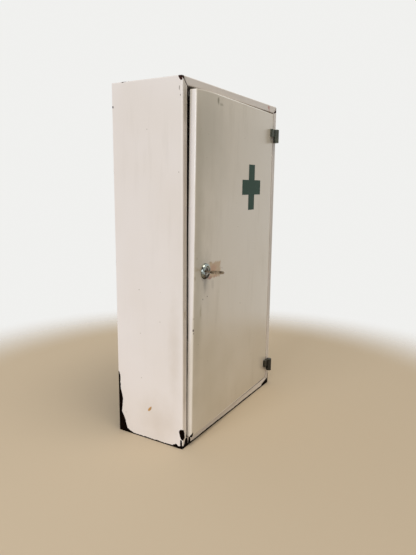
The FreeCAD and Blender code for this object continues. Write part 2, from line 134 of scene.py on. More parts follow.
class Axis(Enum):
    """The axes of the cabinet's frame, under the names that shader outputs have."""

    X = "X"
    Y = "Y"
    Z = "Z"


class Body(Enum):
    """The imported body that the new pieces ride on."""

    DOOR = "door"


class Slot(Enum):
    """The record's material slots for the door's enamel and the cross's film; the new pieces here do not take
    their finish from them.
    """

    DOOR = "door_enamel"
    CROSS = "cross_film"


@dataclass(frozen=True)
class SprungDoor:
    """How the ajar door stands: its hinge line, and a swing that grows with height.

    The top is sprung open further than the bottom, so a level slice of the closed
    door is turned about the hinge line by its own angle.
    """

    hinge_x: float = 165.0 * MM
    hinge_y: float = -74.6 * MM
    bottom: float = 17.0 * MM
    top: float = 585.0 * MM
    swing_at_bottom: float = math.radians(1.5)
    swing_at_top: float = math.radians(2.8)
    free_edge_x: float = -160.0 * MM
    corner_sag: float = 3.0 * MM
    sag_height: float = 60.0 * MM
    sag_width: float = 85.0 * MM

    @property
    def hinge(self) -> Vector:
        """A point on the hinge line."""
        return Vector((self.hinge_x, self.hinge_y, 0.0))

    @property
    def rate(self) -> float:
        """Swing gained per metre of height, in radians."""
        return (self.swing_at_top - self.swing_at_bottom) / (self.top - self.bottom)

    def swing(self, height: float) -> float:
        """Swing of the slice at a height, in radians."""
        return self.swing_at_bottom + self.rate * (height - self.bottom)

    def spring(self, bm: bmesh.types.BMesh) -> None:
        """Turn each level slice of a closed-door mesh to where it stands at rest.

        Args:
            bm: The mesh, built on the closed, flat door.
        """
        rows: dict[int, list[bmesh.types.BMVert]] = {}
        for vert in bm.verts:
            rows.setdefault(round(vert.co.z * MICRONS_IN_METRE), []).append(vert)
        for row in rows.values():
            turn = Matrix.Rotation(self.swing(row[0].co.z), 3, "Z")
            bmesh.ops.rotate(bm, verts=row, cent=self.hinge, matrix=turn)

    def droop(self, bm: bmesh.types.BMesh) -> None:
        """Press the top free corner of a closed-door mesh down, as a knock has done.

        Args:
            bm: The mesh, built on the closed, flat door.
        """
        for vert in bm.verts:
            near_top = max(0.0, 1 - (self.top - vert.co.z) / self.sag_height)
            near_edge = max(0.0, 1 - (vert.co.x - self.free_edge_x) / self.sag_width)
            vert.co.z -= self.corner_sag * near_top * near_edge ** 2

    def flat_place(self, tree: Tree, place: Socket) -> Socket:
        """Bring object coordinates back to the closed, flat door in a material.

        Args:
            tree: The material's tree.
            place: The object coordinates.

        Returns:
            The coordinates on the closed door.
        """
        height = add(tree, "SeparateXYZ", {0: place}, output="Z")
        start = self.swing_at_bottom - self.rate * self.bottom
        angle = add(tree, "Math", {0: height, 1: -self.rate, 2: -start}, operation="MULTIPLY_ADD")
        return add(tree, "VectorRotate", {"Vector": place, "Center": self.hinge, "Angle": angle},
                   rotation_type="Z_AXIS")


@dataclass(frozen=True)
class Patch:
    """A rounded place on the sheet, as large each way as its radii, and turned in degrees."""

    centre: Point
    radii: Point
    turn: Point = field(default=(0.0, 0.0, 0.0), kw_only=True)

    def local(self, tree: Tree, place: Socket) -> Socket:
        """Coordinates in the patch, whose outline lies one unit from its centre."""
        return add(tree, "Mapping", {"Vector": place, "Location": [c * MM for c in self.centre],
                                     "Rotation": [math.radians(a) for a in self.turn],
                                     "Scale": [r * MM for r in self.radii]}, vector_type="TEXTURE")


@dataclass(frozen=True)
class Chip(Patch):
    """A patch of lost paint."""

    def distance(self, tree: Tree, place: Socket) -> Socket:
        """Distance to the patch's outline in metres, negative inside.

        Args:
            tree: The material's tree.
            place: The coordinates that the patch is placed in.

        Returns:
            The distance socket.
        """
        local = self.local(tree, place)
        length = add(tree, "VectorMath", {0: local}, output="Value", operation="LENGTH")
        reach = min(self.radii) * MM
        return add(tree, "Math", {0: length, 1: reach, 2: -reach}, operation="MULTIPLY_ADD")


@dataclass(frozen=True)
class Scrape:
    """Paint scraped off along a short straight line, as wide at each end as its radius."""

    start: Point
    end: Point
    start_radius: float
    end_radius: float

    def distance(self, tree: Tree, place: Socket) -> Socket:
        """Distance to the scrape's outline in metres, negative inside.

        Args:
            tree: The material's tree.
            place: The coordinates that the scrape is placed in.

        Returns:
            The distance socket.
        """
        start, run = Vector(self.start) * MM, (Vector(self.end) - Vector(self.start)) * MM
        from_start = add(tree, "VectorMath", {0: place, 1: start}, operation="SUBTRACT")
        share = add(tree, "VectorMath", {0: from_start, 1: run / run.length_squared}, output="Value",
                    operation="DOT_PRODUCT")
        share = add(tree, "Clamp", {0: share})
        nearest = add(tree, "VectorMath", {0: run, 3: share}, operation="SCALE")
        aside = add(tree, "VectorMath", {0: from_start, 1: nearest}, output="Value", operation="DISTANCE")
        narrower = (self.start_radius - self.end_radius) * MM
        taper = add(tree, "Math", {0: share, 1: narrower, 2: -self.start_radius * MM},
                    operation="MULTIPLY_ADD")
        return add(tree, "Math", {0: aside, 1: taper}, operation="ADD")


@dataclass(frozen=True)
class FrayedEdge:
    """Paint lost along one straight edge, in a band whose width changes along it.

    profile holds pairs of shares: how far along the edge, and how wide the band is there.
    """

    along: Axis
    start: float
    end: float
    edge: tuple[tuple[Axis, float], ...]
    width: float
    profile: tuple[tuple[float, float], ...]

    def distance(self, tree: Tree, place: Socket) -> Socket:
        """Distance to the band's outline in metres, negative inside.

        Args:
            tree: The material's tree.
            place: The coordinates that the edge is placed in.

        Returns:
            The distance socket.
        """
        run = add(tree, "SeparateXYZ", {0: place}, output=self.along.value)
        share = add(tree, "MapRange", {"Value": run, "From Min": self.start * MM, "From Max": self.end * MM})
        width = add(tree, "FloatCurve", {"Value": share})
        curve = width.node.mapping.curves[0]
        while len(curve.points) < len(self.profile):
            curve.points.new(0.5, 0.5)
        for point, (x, y) in zip(curve.points, self.profile):
            point.location = (x, y)
            point.handle_type = "VECTOR"
        width.node.mapping.update()
        away = 0.0
        for axis, position in self.edge:
            value = add(tree, "SeparateXYZ", {0: place}, output=axis.value)
            offset = add(tree, "Math", {0: value, 1: position * MM}, operation="SUBTRACT")
            offset = add(tree, "Math", {0: offset}, operation="ABSOLUTE")
            away = add(tree, "Math", {0: away, 1: offset}, operation="MAXIMUM")
        return add(tree, "Math", {0: width, 1: -self.width * MM, 2: away}, operation="MULTIPLY_ADD")


@dataclass(frozen=True)
class StainAndPaintedLight(Patch):
    """A soft mark: dirt, a rusty run, tape glue or a rubbed place, and also painted highlights, shade and
    reflections.
    """

    colour: str
    strength: float
    softness: float
    breakup_mm: float
    square: bool = False
    raggedness: float = 0.8

    def mask(self, tree: Tree, place: Socket) -> Socket:
        """How strongly the mark covers a place, from 0 to its strength.

        Args:
            tree: The material's tree.
            place: The coordinates that the mark is placed in.

        Returns:
            The mask socket.
        """
        local = self.local(tree, place)
        if self.square:
            size = add(tree, "VectorMath", {0: local}, operation="ABSOLUTE")
            sides = [add(tree, "SeparateXYZ", {0: size}, output=axis.value) for axis in Axis]
            reach = add(tree, "Math", {0: sides[0], 1: sides[1]}, operation="MAXIMUM")
            reach = add(tree, "Math", {0: reach, 1: sides[2]}, operation="MAXIMUM")
        else:
            reach = add(tree, "VectorMath", {0: local}, output="Value", operation="LENGTH")
        ragged = add(tree, "TexNoise", {"Vector": place, "Scale": per_metre(self.breakup_mm), "Detail": 3.0})
        uneven = add(tree, "Math", {0: ragged, 1: -self.raggedness, 2: self.raggedness / 2},
                     operation="MULTIPLY_ADD")
        reach = add(tree, "Math", {0: reach, 1: uneven}, operation="ADD")
        return add(tree, "MapRange", {"Value": reach, "From Min": 1.0, "From Max": 1.0 - self.softness,
                                      "To Max": self.strength}, interpolation_type="SMOOTHSTEP")


@dataclass(frozen=True)
class Look:
    """What a finish gives the eye: its colours, its relief in metres and its gloss.

    Each layer is a mask and the colour that it lays over those below it, and gloss holds
    the other inputs of the surface shader.
    """

    ground: str
    layers: list[tuple[Socket, Colour | Socket]]
    relief: Socket
    gloss: dict[str, Any]


@dataclass(frozen=True)
class Finish:
    """A surface finish; each kind of finish has its own look."""

    name: str

    def shade(self, tree: Tree, place: Socket) -> Look:
        """Shade the finish from object coordinates; each kind of finish has its own way."""
        raise NotImplementedError

    def material(self) -> bpy.types.Material:
        """Build the material of this finish.

        Returns:
            The new material.
        """
        made = bpy.data.materials.new(self.name)
        tree = cleared_tree(made)
        look = self.shade(tree, add(tree, "TexCoord", output="Object"))
        colour = linear(look.ground)
        for mask, over in look.layers:
            colour = add(tree, "Mix", {0: mask, 6: colour, 7: over}, output=2, data_type="RGBA")
        normal = add(tree, "Bump", {"Strength": 1.0, "Distance": 1.0, "Height": look.relief},
                     output="Normal")
        surface = add(tree, "BsdfPrincipled", {"Base Color": colour, "Normal": normal, **look.gloss})
        add(tree, "OutputMaterial", {"Surface": surface})
        return made


@dataclass(frozen=True)
class Enamel(Finish):
    """Alkyd enamel sprayed on sheet steel and aged.

    It gives the eye a cream semi-gloss skin with a faint orange peel, slow waves from the
    thin sheet, yellowed and greyed places, pin-head specks, a painted highlight along the
    folds, and dark rusty steel where it has chipped along folds and corners. Its marks add
    painted highlights and shade as well. A name that ends in size_mm holds about one repeat
    of a pattern.
    """

    pale: str = "E8E1DC"
    warm: str = "E1D8CF"
    grime: str = "8F8468"
    # The colour of rubbed paint, also laid as a painted highlight along the folds.
    rubbed: str = "F6F1EA"
    bare: str = "0B0604"
    dry_bare: str = "3A2420"
    rust: str = "2C180C"
    gloss_roughness: float = 0.30
    grime_dulling: float = 0.5
    bare_roughness: float = 0.82
    grime_amount: float = 0.14
    tone_size_mm: float = 260.0
    cloud_size_mm: float = 120.0
    streak_size_mm: float = 16.0
    streak_shrink: float = 0.12
    fleck_size_mm: float = 20.0
    fleck_radius_shares: tuple[float, float] = (0.025, 0.060)
    fleck_strength: float = 0.75
    wave_size_mm: float = 95.0
    wave_mm: float = 0.10
    peel_size_mm: float = 1.6
    peel_mm: float = 0.004
    film_mm: float = 0.12
    crust_size_mm: float = 2.6
    crust_mm: float = 0.25
    jag_size_mm: float = 5.0
    jag_mm: float = 3.2
    wear_size_mm: float = 26.0
    marks_end_mm: tuple[float, float] = (0.88, 0.96)
    fold_shine_mm: tuple[float, float] = (0.7, 2.4)
    lip_mm: tuple[float, float] = (0.1, 0.9)
    wear_inset_mm: float = 0.05
    chip_blur_mm: float = 0.12
    damp_to_dry_mm: tuple[float, float] = (150.0, 560.0)
    box: tuple[Point, Point] | None = None
    base_line_mm: float = 0.0
    edge_wear_mm: float = 1.6
    fold_shine: float = 0.30
    lip_shine: float = 0.35
    chips: tuple[Chip | Scrape | FrayedEdge, ...] = ()
    stains_and_painted_light: tuple[StainAndPaintedLight, ...] = ()
    door: SprungDoor | None = None

    def edge_distance(self, tree: Tree, place: Socket) -> tuple[Socket, Socket, Socket]:
        """Distances to the folds of the panel's box, to the rim of its underside and to its faces.

        Args:
            tree: The material's tree.
            place: The coordinates that the box is placed in.

        Returns:
            The distances to the nearest fold, the underside's rim and the nearest face, in metres.
        """
        low, high = self.box
        gaps = []
        for axis, near, far in zip(Axis, low, high):
            value = add(tree, "SeparateXYZ", {0: place}, output=axis.value)
            middle = (near + far) / 2 * MM
            offset = add(tree, "Math", {0: value, 1: middle}, operation="SUBTRACT")
            offset = add(tree, "Math", {0: offset}, operation="ABSOLUTE")
            gaps.append(add(tree, "Math", {0: (far - near) / 2 * MM, 1: offset}, operation="SUBTRACT"))
        smaller = add(tree, "Math", {0: gaps[0], 1: gaps[1]}, operation="MINIMUM")
        larger = add(tree, "Math", {0: gaps[0], 1: gaps[1]}, operation="MAXIMUM")
        either = add(tree, "Math", {0: larger, 1: gaps[2]}, operation="MINIMUM")
        fold = add(tree, "Math", {0: smaller, 1: either}, operation="MAXIMUM")
        height = add(tree, "SeparateXYZ", {0: place}, output="Z")
        rim = add(tree, "Math", {0: height, 1: smaller}, operation="MAXIMUM")
        depth = add(tree, "Math", {0: smaller, 1: gaps[2]}, operation="MINIMUM")
        return fold, rim, depth

    def lost_paint(self, tree: Tree, place: Socket, fold: Socket | None, rim: Socket | None) -> Socket:
        """Distance to the nearest outline of lost paint in metres, negative inside.

        Args:
            tree: The material's tree.
            place: The coordinates of the panel.
            fold: Distance to the nearest fold, where the panel has a box.
            rim: Distance to the underside's rim, where the panel has a box.

        Returns:
            The distance socket.
        """
        ragged = add(tree, "TexNoise", {"Vector": place, "Scale": per_metre(self.jag_size_mm), "Detail": 4.0,
                                        "Roughness": 0.6})
        jag = add(tree, "Math", {0: ragged, 1: self.jag_mm * MM, 2: -self.jag_mm / 2 * MM},
                  operation="MULTIPLY_ADD")
        nearest = FAR_OFF
        for mark in self.chips:
            outline = mark.distance(tree, place)
            nearest = add(tree, "Math", {0: nearest, 1: outline}, operation="MINIMUM")
        nearest = add(tree, "Math", {0: nearest, 1: jag}, operation="ADD")
        if fold:
            patchy = add(tree, "TexNoise", {"Vector": place, "Scale": per_metre(self.wear_size_mm),
                                            "Detail": 4.0, "Roughness": 0.7})
            wear = add(tree, "MapRange", {"Value": patchy, "From Min": 0.56, "From Max": 0.80,
                                          "To Max": self.edge_wear_mm * MM})
            worn = add(tree, "Math", {0: fold, 1: wear}, operation="SUBTRACT")
            worn = add(tree, "Math", {0: worn, 1: self.wear_inset_mm * MM}, operation="ADD")
            nearest = add(tree, "Math", {0: nearest, 1: worn}, operation="MINIMUM")
            # The line round the foot is worn paint and also painted contact shadow.
            if self.base_line_mm:
                # The noise is 0.5 on average, so twice the line is worn up to the line on average.
                frayed = add(tree, "Math", {0: ragged, 1: 2.0 * self.base_line_mm * MM}, operation="MULTIPLY")
                foot_wear_and_shadow = add(tree, "Math", {0: rim, 1: frayed}, operation="SUBTRACT")
                nearest = add(tree, "Math", {0: nearest, 1: foot_wear_and_shadow}, operation="MINIMUM")
        return nearest

    def dirt(self, tree: Tree, place: Socket) -> Socket:
        """Share of grime, in clouds of streaks that run down the sheet.

        Args:
            tree: The material's tree.
            place: The coordinates of the panel.

        Returns:
            The share socket.
        """
        long_way = add(tree, "Mapping", {"Vector": place, "Scale": (1.0, 1.0, self.streak_shrink)})
        streak = add(tree, "TexNoise", {"Vector": long_way, "Scale": per_metre(self.streak_size_mm),
                                        "Detail": 5.0, "Roughness": 0.65})
        cloud = add(tree, "TexNoise", {"Vector": place, "Scale": per_metre(self.cloud_size_mm),
                                       "Detail": 4.0})
        streak = add(tree, "MapRange", {"Value": streak, "From Min": 0.50, "From Max": 0.78})
        cloud = add(tree, "MapRange", {"Value": cloud, "From Min": 0.42, "From Max": 0.72})
        dirt = add(tree, "Math", {0: streak, 1: cloud}, operation="MULTIPLY")
        return add(tree, "Math", {0: dirt, 1: self.grime_amount}, operation="MULTIPLY")

    def flecks(self, tree: Tree, place: Socket) -> Socket:
        """Mask of the pin-head specks, one in each chosen cell of a scattered pattern.

        Args:
            tree: The material's tree.
            place: The coordinates of the panel.

        Returns:
            The mask socket.
        """
        core, rim = self.fleck_radius_shares
        out = add(tree, "TexVoronoi", {"Vector": place, "Scale": per_metre(self.fleck_size_mm)},
                  output="Distance")
        chosen = add(tree, "MapRange", {"Value": out.node.outputs["Color"], "From Min": 0.52,
                                        "From Max": 0.60, "To Max": self.fleck_strength})
        fleck = add(tree, "MapRange", {"Value": out, "From Min": rim, "From Max": core})
        return add(tree, "Math", {0: fleck, 1: chosen}, operation="MULTIPLY")

    def steel(self, tree: Tree, place: Socket, crust: Socket) -> Socket:
        """Colour of the bare steel: near black low down, browner higher up, rusty in its crust.

        Args:
            tree: The material's tree.
            place: The coordinates of the panel.
            crust: The pattern of the crust.

        Returns:
            The colour socket.
        """
        damp_at, dry_at = self.damp_to_dry_mm
        height = add(tree, "SeparateXYZ", {0: place}, output="Z")
        dry = add(tree, "MapRange", {"Value": height, "From Min": damp_at * MM, "From Max": dry_at * MM})
        steel = add(tree, "Mix", {0: dry, 6: linear(self.bare), 7: linear(self.dry_bare)}, output=2,
                    data_type="RGBA")
        rusty = add(tree, "MapRange", {"Value": crust, "From Min": 0.50, "From Max": 0.72})
        return add(tree, "Mix", {0: rusty, 6: steel, 7: linear(self.rust)}, output=2, data_type="RGBA")

    def relief(self, tree: Tree, place: Socket, bare: Socket, crust: Socket) -> Socket:
        """Height of the waves and orange peel in the paint, and of the pitted steel below it.

        Args:
            tree: The material's tree.
            place: The coordinates of the panel.
            bare: The mask of lost paint.
            crust: The pattern of the crust.

        Returns:
            The height in metres.
        """
        wave = add(tree, "TexNoise", {"Vector": place, "Scale": per_metre(self.wave_size_mm), "Detail": 1.0})
        peel = add(tree, "TexNoise", {"Vector": place, "Scale": per_metre(self.peel_size_mm), "Detail": 2.0})
        height = add(tree, "Math", {0: wave, 1: self.wave_mm * 2 * MM}, operation="MULTIPLY")
        height = add(tree, "Math", {0: peel, 1: self.peel_mm * MM, 2: height}, operation="MULTIPLY_ADD")
        pitted = add(tree, "Math", {0: crust, 1: -self.crust_mm * MM, 2: -self.film_mm * MM},
                     operation="MULTIPLY_ADD")
        return add(tree, "Math", {0: bare, 1: pitted, 2: height}, operation="MULTIPLY_ADD")

    def shade(self, tree: Tree, place: Socket) -> Look:
        """Shade the paint, its dirt and marks, its painted highlights and shade, and the steel where it is
        lost.

        Args:
            tree: The material's tree.
            place: The object coordinates.

        Returns:
            The finish's look.
        """
        if self.door:
            place = self.door.flat_place(tree, place)
        tone = add(tree, "TexNoise", {"Vector": place, "Scale": per_metre(self.tone_size_mm), "Detail": 3.0})
        tone = add(tree, "MapRange", {"Value": tone, "From Min": 0.35, "From Max": 0.65})
        dirt = self.dirt(tree, place)
        layers = [(tone, linear(self.warm)), (dirt, linear(self.grime)),
                  (self.flecks(tree, place), linear(self.grime))]
        fold, rim, depth = self.edge_distance(tree, place) if self.box else (None, None, 0.0)
        whole, gone = self.marks_end_mm
        outside = add(tree, "MapRange", {"Value": depth, "From Min": gone * MM, "From Max": whole * MM})
        # The marks lay dirt, glue and rusty runs, and painted highlights and shade, on the outer skin of the
        # paint.
        for stain_and_light in self.stains_and_painted_light:
            mask = add(tree, "Math", {0: stain_and_light.mask(tree, place), 1: outside}, operation="MULTIPLY")
            layers.append((mask, linear(stain_and_light.colour)))
        # A painted highlight along the folds where they catch the light, partly paint rubbed thin there, in
        # the colour of rubbed paint.
        if fold:
            bright, plain = self.fold_shine_mm
            shine = add(tree, "MapRange", {"Value": fold, "From Min": plain * MM, "From Max": bright * MM,
                                           "To Max": self.fold_shine}, interpolation_type="SMOOTHSTEP")
            layers.append((shine, linear(self.rubbed)))
        away = self.lost_paint(tree, place, fold, rim)
        blur = self.chip_blur_mm * MM
        bare = add(tree, "MapRange", {"Value": away, "From Min": blur, "From Max": -blur})
        bare = add(tree, "Math", {0: bare, 1: outside}, operation="MULTIPLY")
        brink, level = self.lip_mm
        lip = add(tree, "MapRange", {"Value": away, "From Min": level * MM, "From Max": brink * MM,
                                     "To Max": self.lip_shine})
        lip = add(tree, "Math", {0: lip, 1: outside}, operation="MULTIPLY")
        crust = add(tree, "TexNoise", {"Vector": place, "Scale": per_metre(self.crust_size_mm), "Detail": 6.0,
                                       "Roughness": 0.7})
        layers += [(lip, linear(self.rubbed)), (bare, self.steel(tree, place, crust))]
        gloss = add(tree, "Math", {0: dirt, 1: self.grime_dulling, 2: self.gloss_roughness},
                    operation="MULTIPLY_ADD")
        roughness = add(tree, "Mix", {0: bare, 2: gloss, 3: self.bare_roughness}, data_type="FLOAT")
        return Look(self.pale, layers, self.relief(tree, place, bare, crust),
                    {"Roughness": roughness, "Metallic": bare, "IOR": 1.5})


@dataclass(frozen=True)
class WornMetal(Finish):
    """Plated, turned or pressed metal with its own tarnish.

    It gives the eye a metal sheen broken by finger marks, dull spots and fine scratches; its marks can lay
    painted reflections and shade on it.
    """

    clean: str
    roughness: float
    tarnish: str = "6B5A45"
    dull: float = 0.5
    spot_mm: float = 5.0
    tarnish_from: float = 0.50
    tarnish_to: float = 0.72
    pit_mm: float = 0.004
    scratch_mm: float = 4.0
    scratch_stretch: float = 14.0
    stains_and_painted_light: tuple[StainAndPaintedLight, ...] = ()

    def shade(self, tree: Tree, place: Socket) -> Look:
        """Shade the metal and its tarnish.

        Args:
            tree: The material's tree.
            place: The object coordinates.

        Returns:
            The finish's look.
        """
        spots = add(tree, "TexNoise", {"Vector": place, "Scale": per_metre(self.spot_mm), "Detail": 5.0,
                                       "Roughness": 0.65})
        tarnish_and_painted_light = add(tree, "MapRange", {"Value": spots, "From Min": self.tarnish_from,
                                     "From Max": self.tarnish_to})
        layers = [(tarnish_and_painted_light, linear(self.tarnish))]
        # The marks lay painted reflections and shade, with some tarnish, over the metal and dull it there.
        for stain_and_light in self.stains_and_painted_light:
            mask = stain_and_light.mask(tree, place)
            layers.append((mask, linear(stain_and_light.colour)))
            tarnish_and_painted_light = add(tree, "Math", {0: tarnish_and_painted_light, 1: mask}, operation="MAXIMUM")
        roughness = add(tree, "Mix", {0: tarnish_and_painted_light, 2: self.roughness, 3: self.dull}, data_type="FLOAT")
        scratch_way = add(tree, "Mapping", {"Vector": place, "Scale": (1.0, 1.0, self.scratch_stretch)})
        scratch = add(tree, "TexNoise", {"Vector": scratch_way, "Scale": per_metre(self.scratch_mm),
                                         "Detail": 2.0})
        height = add(tree, "Math", {0: spots, 1: self.pit_mm * MM}, operation="MULTIPLY")
        height = add(tree, "Math", {0: scratch, 1: self.pit_mm / 3 * MM, 2: height}, operation="MULTIPLY_ADD")
        return Look(self.clean, layers, height, {"Roughness": roughness, "Metallic": 1.0})


@dataclass(frozen=True)
class HingePaint(Finish):
    """Dark green-black paint brushed on steel hinges.

    It gives the eye a dull dark coat, greyer where it is rubbed, with brown steel at nicks.
    """

    coat: str
    rubbed: str
    nick: str = "3E2C1E"
    rub_mm: float = 9.0
    nick_mm: float = 3.0
    brush_relief_mm: float = 0.10
    nick_depth_mm: float = 0.08

    def shade(self, tree: Tree, place: Socket) -> Look:
        """Shade the coat, its rubbed places and its nicks.

        Args:
            tree: The material's tree.
            place: The object coordinates.

        Returns:
            The finish's look.
        """
        soft = add(tree, "TexNoise", {"Vector": place, "Scale": per_metre(self.rub_mm), "Detail": 4.0})
        rub = add(tree, "MapRange", {"Value": soft, "From Min": 0.45, "From Max": 0.75, "To Max": 0.7})
        fine = add(tree, "TexNoise", {"Vector": place, "Scale": per_metre(self.nick_mm), "Detail": 5.0,
                                      "Roughness": 0.7})
        nicks = add(tree, "MapRange", {"Value": fine, "From Min": 0.62, "From Max": 0.66})
        roughness = add(tree, "MapRange", {"Value": soft, "From Min": 0.3, "From Max": 0.7,
                                           "To Min": 0.38, "To Max": 0.60})
        height = add(tree, "Math", {0: fine, 1: self.brush_relief_mm * MM}, operation="MULTIPLY")
        height = add(tree, "Math", {0: nicks, 1: -self.nick_depth_mm * MM, 2: height},
                     operation="MULTIPLY_ADD")
        return Look(self.coat, [(rub, linear(self.rubbed)), (nicks, linear(self.nick))], height,
                    {"Roughness": roughness})


@dataclass(frozen=True)
class DullSkin(Finish):
    """A thin dull skin of one colour: printed film or moulded rubber.

    It gives the eye an even colour that is faintly mottled, with paler scuffs along fine lines.
    """

    roughness: float
    colour: str = "284237"
    scuff: str = "647C70"
    mottle_mm: float = 14.0
    mottle_roughness: float = 0.16
    line_mm: float = 2.4
    line_slant: float = 0.5
    line_shrink: float = 0.06
    grain_mm: float = 1.4
    relief_mm: float = 0.01
    scuff_amount: float = 0.3
    specular: float = 0.5
    door: SprungDoor | None = None

    def shade(self, tree: Tree, place: Socket) -> Look:
        """Shade the skin, its mottle and its scuffs.

        Args:
            tree: The material's tree.
            place: The object coordinates.

        Returns:
            The finish's look.
        """
        if self.door:
            place = self.door.flat_place(tree, place)
        mottle = add(tree, "TexNoise", {"Vector": place, "Scale": per_metre(self.mottle_mm), "Detail": 4.0})
        slant = add(tree, "Mapping", {"Vector": place, "Rotation": (0.0, self.line_slant, 0.0),
                                      "Scale": (1.0, 1.0, self.line_shrink)})
        lines = add(tree, "TexNoise", {"Vector": slant, "Scale": per_metre(self.line_mm), "Detail": 3.0})
        lines = add(tree, "MapRange", {"Value": lines, "From Min": 0.60, "From Max": 0.72})
        soft = add(tree, "MapRange", {"Value": mottle, "From Min": 0.4, "From Max": 0.8, "To Max": 0.4})
        worn = add(tree, "Math", {0: lines, 1: soft}, operation="MAXIMUM")
        worn = add(tree, "Math", {0: worn, 1: self.scuff_amount}, operation="MULTIPLY")
        least = self.roughness - self.mottle_roughness / 2
        roughness = add(tree, "Math", {0: mottle, 1: self.mottle_roughness, 2: least},
                        operation="MULTIPLY_ADD")
        grain = add(tree, "TexNoise", {"Vector": place, "Scale": per_metre(self.grain_mm), "Detail": 3.0})
        height = add(tree, "Math", {0: grain, 1: self.relief_mm * MM}, operation="MULTIPLY")
        return Look(self.colour, [(worn, linear(self.scuff))], height,
                    {"Roughness": roughness, "Specular IOR Level": self.specular})


def dress(names: tuple[str, ...], finish: Finish) -> None:
    """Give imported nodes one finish.

    Args:
        names: The nodes' names.
        finish: The finish, built once for all of them.
    """
    material = finish.material()
    for name in names:
        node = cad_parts[name]
        node.data.materials.clear()
        node.data.materials.append(material)
    log.info("%s dresses %s", finish.name, ", ".join(names))


def place_piece(name: str, bm: bmesh.types.BMesh, body: Body, material: bpy.types.Material,
                replaced: tuple[str, ...]) -> bpy.types.Object:
    """Turn a finished bmesh into a piece that rides on a body.

    Args:
        name: The piece's name.
        bm: The mesh, in the cabinet's frame; it is freed.
        body: The body that the piece rides on.
        material: Its material.
        replaced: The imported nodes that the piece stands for.

    Returns:
        The new object.
    """
    mesh = bpy.data.meshes.new(name)
    bm.to_mesh(mesh)
    bm.free()
    mesh.materials.append(material)
    piece = new_object(name, mesh)
    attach(piece, body.value)
    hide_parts(*replaced)
    log.info("%s rides on %s", name, body.value)
    return piece


@dataclass
class DoorLeaf:
    """The door's sheet, pressed into a shallow pan with rounded folds and corners."""

    stance: SprungDoor
    right: float = 160.0 * MM
    face: float = FRONT * MM
    depth: float = 12.0 * MM
    sheet: float = 1.0 * MM
    fold: float = 2.0 * MM
    fold_steps: int = 5
    lock_x: float = -124.0 * MM
    lock_z: float = 300.0 * MM
    lock_hole: float = 6.4 * MM
    hole_square: float = 10.0 * MM
    hole_slack: float = 0.1 * MM
    hole_cuts: int = 3
    rows: int = 14
    columns: tuple[float, ...] = (20.0 * MM, 50.0 * MM, 85.0 * MM)
    same_place: float = 1e-7

    def mesh(self) -> bmesh.types.BMesh:
        """Shape the pan on the closed door, press its top free corner down and spring it to its stance.

        Returns:
            The open shell of the pan's outer skin.
        """
        bm = bmesh.new()
        bmesh.ops.create_cube(bm, size=1.0)
        left, bottom, top = self.stance.free_edge_x, self.stance.bottom, self.stance.top
        height = top - bottom
        bmesh.ops.scale(bm, vec=(self.right - left, self.depth, height), verts=bm.verts)
        centre = ((left + self.right) / 2, self.face + self.depth / 2, (bottom + top) / 2)
        bmesh.ops.translate(bm, vec=centre, verts=bm.verts)
        rear = [f for f in bm.faces if f.normal.y > 0.5]
        bmesh.ops.delete(bm, geom=rear, context="FACES_ONLY")
        folds = [e for e in bm.edges if any(v.co.y < self.face + self.depth / 2 for v in e.verts)]
        bmesh.ops.bevel(bm, geom=folds, offset=self.fold, segments=self.fold_steps, profile=0.5,
                        affect="EDGES", material=-1)
        step = (height - 2 * self.fold) / self.rows
        for row in range(1, self.rows):
            self.score(bm, Axis.Z, bottom + self.fold + step * row)
        for column in self.columns:
            self.score(bm, Axis.X, left + column)
        self.drill(bm)
        bmesh.ops.remove_doubles(bm, verts=bm.verts, dist=self.same_place)
        bmesh.ops.recalc_face_normals(bm, faces=bm.faces)
        self.stance.droop(bm)
        self.stance.spring(bm)
        for face in bm.faces:
            face.smooth = True
        return bm

    def score(self, bm: bmesh.types.BMesh, axis: Axis, at: float) -> None:
        """Cut a line of edges round the pan where it crosses a plane.

        Args:
            bm: The pan's skin on the closed door.
            axis: The plane's normal.
            at: Where the plane stands on that axis.
        """
        way = Vector([float(each is axis) for each in Axis])
        bmesh.ops.bisect_plane(bm, geom=bm.verts[:] + bm.edges[:] + bm.faces[:], plane_co=way * at,
                               plane_no=way)

    def by_lock(self, part: bmesh.types.BMEdge | bmesh.types.BMFace) -> bool:
        """Tell whether an edge or a face lies in the square of front sheet round the lock.

        Args:
            part: The edge or face.

        Returns:
            True where all its corners lie in the square.
        """
        reach = self.hole_square + self.hole_slack
        return all(abs(v.co.x - self.lock_x) < reach and abs(v.co.z - self.lock_z) < reach
                   and v.co.y < self.face + self.sheet for v in part.verts)

    def drill(self, bm: bmesh.types.BMesh) -> None:
        """Open the lock's round hole in a small square of the sheet.

        Args:
            bm: The pan's skin on the closed door.
        """
        for side in (-self.hole_square, self.hole_square):
            self.score(bm, Axis.X, self.lock_x + side)
            self.score(bm, Axis.Z, self.lock_z + side)
        bmesh.ops.delete(bm, geom=[f for f in bm.faces if self.by_lock(f)], context="FACES")
        rim = [e for e in bm.edges if e.is_boundary and self.by_lock(e)]
        bmesh.ops.subdivide_edges(bm, edges=rim, cuts=self.hole_cuts)
        rim = [e for e in bm.edges if e.is_boundary and self.by_lock(e)]
        stand = (Matrix.Translation((self.lock_x, self.face, self.lock_z))
                 @ Matrix.Rotation(math.radians(90), 4, "X"))
        ring = bmesh.ops.create_circle(bm, cap_ends=False, radius=self.lock_hole, segments=len(rim),
                                       matrix=stand)
        circle = list({e for v in ring["verts"] for e in v.link_edges})
        bmesh.ops.bridge_loops(bm, edges=rim + circle)

    def build(self, material: bpy.types.Material) -> None:
        """Make the pan's piece, with the sheet's thickness turned inwards.

        Args:
            material: The door's enamel.
        """
        piece = place_piece("door_pressed_pan", self.mesh(), Body.DOOR, material, ("door_pan",))
        wall = piece.modifiers.new("sheet", "SOLIDIFY")
        wall.thickness = self.sheet
        wall.offset = -1.0
        wall.use_even_offset = True


